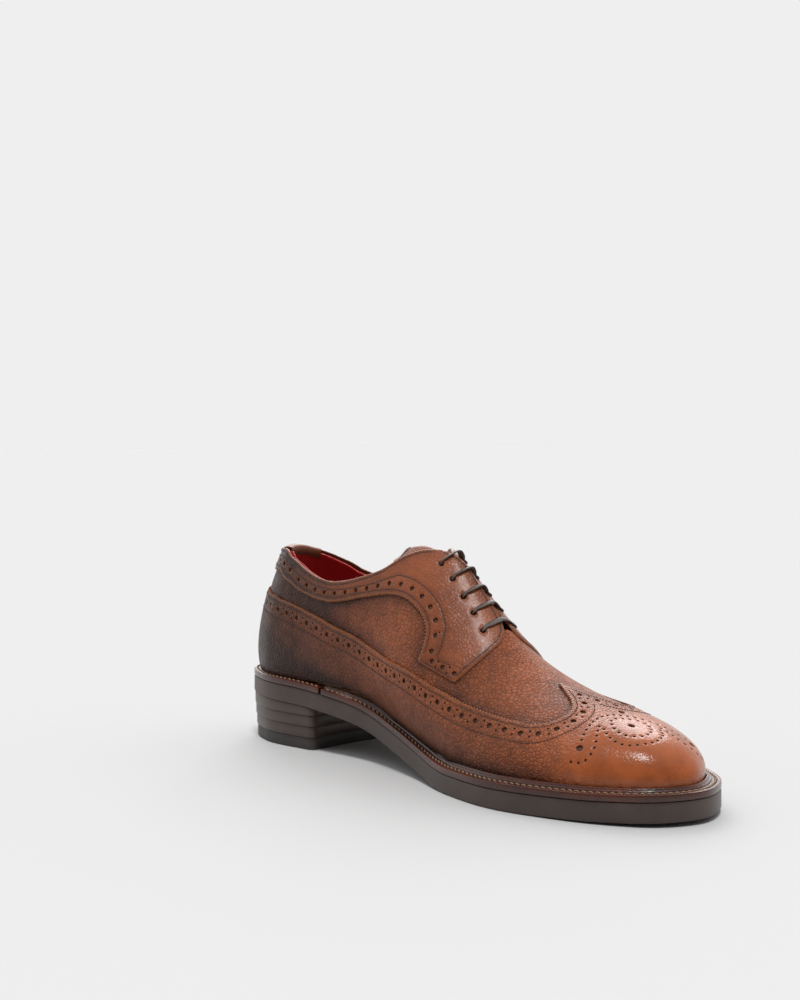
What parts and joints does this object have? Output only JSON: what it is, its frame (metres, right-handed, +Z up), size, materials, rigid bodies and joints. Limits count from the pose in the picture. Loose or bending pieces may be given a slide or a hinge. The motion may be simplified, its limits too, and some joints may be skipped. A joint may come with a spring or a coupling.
{
  "type": "lace-up brogue shoe",
  "caption": "Brown leather men's lace-up longwing brogue shoe for the left foot, with punched pebbled leather, storm welt and rubber sole.",
  "frame": {"origin": "middle of the shoe's footprint box, on the ground", "axes": "+Z up, +Y along the shoe towards the heel, +X to the outer side of the foot; the toe points to -Y"},
  "size_m": [0.116, 0.3038, 0.1136],
  "materials": {
    "upper_leather": "semi-gloss pebbled leather, darker at seams and toe",
    "tongue_leather": "satin leather",
    "heel_tab_leather": "satin leather",
    "lining_leather": "matt lining leather",
    "inner_leather": "matt undyed leather",
    "stiffener": "matt leather board",
    "sock_leather": "satin leather",
    "insole_leather": "matt vegetable-tanned leather",
    "welt_leather": "glossy dark leather",
    "sole_rubber": "satin dark brown rubber",
    "heel_rubber": "matt dark rubber",
    "heel_stack": "waxed and stained leather board",
    "cork": "granular cork",
    "shank_steel": "plain spring steel",
    "lace_cotton": "waxed round cotton",
    "aglet_plastic": "glossy tip",
    "eyelet_brass": "dull brass",
    "thread": "waxed sewing thread"
  },
  "bodies": {
    "shoe": {"outsole": "sole_rubber", "welt": "welt_leather", "heel_rand": "welt_leather", "insole_rib": "insole_leather", "insole": "insole_leather", "sock_liner": "sock_leather", "cork_filler": "cork", "shank": "shank_steel", "heel_top_piece": "heel_rubber", "heel_lift_1": "heel_stack", "heel_lift_2": "heel_stack", "heel_lift_3": "heel_stack", "wing_cap": "upper_leather", "facing_lateral": "upper_leather", "facing_medial": "upper_leather", "quarter_lateral": "upper_leather", "quarter_medial": "upper_leather", "lining_quarter_lateral": "lining_leather", "lining_quarter_medial": "lining_leather", "side_lining_lateral": "inner_leather", "side_lining_medial": "inner_leather", "vamp": "upper_leather", "lining_vamp": "lining_leather", "toe_puff": "stiffener", "heel_counter": "stiffener", "heel_tab": "heel_tab_leather", "lace": "lace_cotton", "aglet_1": "aglet_plastic", "aglet_2": "aglet_plastic", "eyelet_lateral_1": "eyelet_brass", "eyelet_lateral_2": "eyelet_brass", "eyelet_lateral_3": "eyelet_brass", "eyelet_lateral_4": "eyelet_brass", "eyelet_lateral_5": "eyelet_brass", "eyelet_medial_1": "eyelet_brass", "eyelet_medial_2": "eyelet_brass", "eyelet_medial_3": "eyelet_brass", "eyelet_medial_4": "eyelet_brass", "eyelet_medial_5": "eyelet_brass"},
    "tongue": {"tongue": "tongue_leather", "tongue_lining": "inner_leather"}
  },
  "joints": [
    {"name": "tongue_swing", "type": "hinge", "parent": "shoe", "child": "tongue", "pos_m": [0, -0.0385, 0.062], "axis": [-1, 0, 0], "range_deg": [0, 20], "stiffness_Nm_per_rad": 0.2}
  ]
}
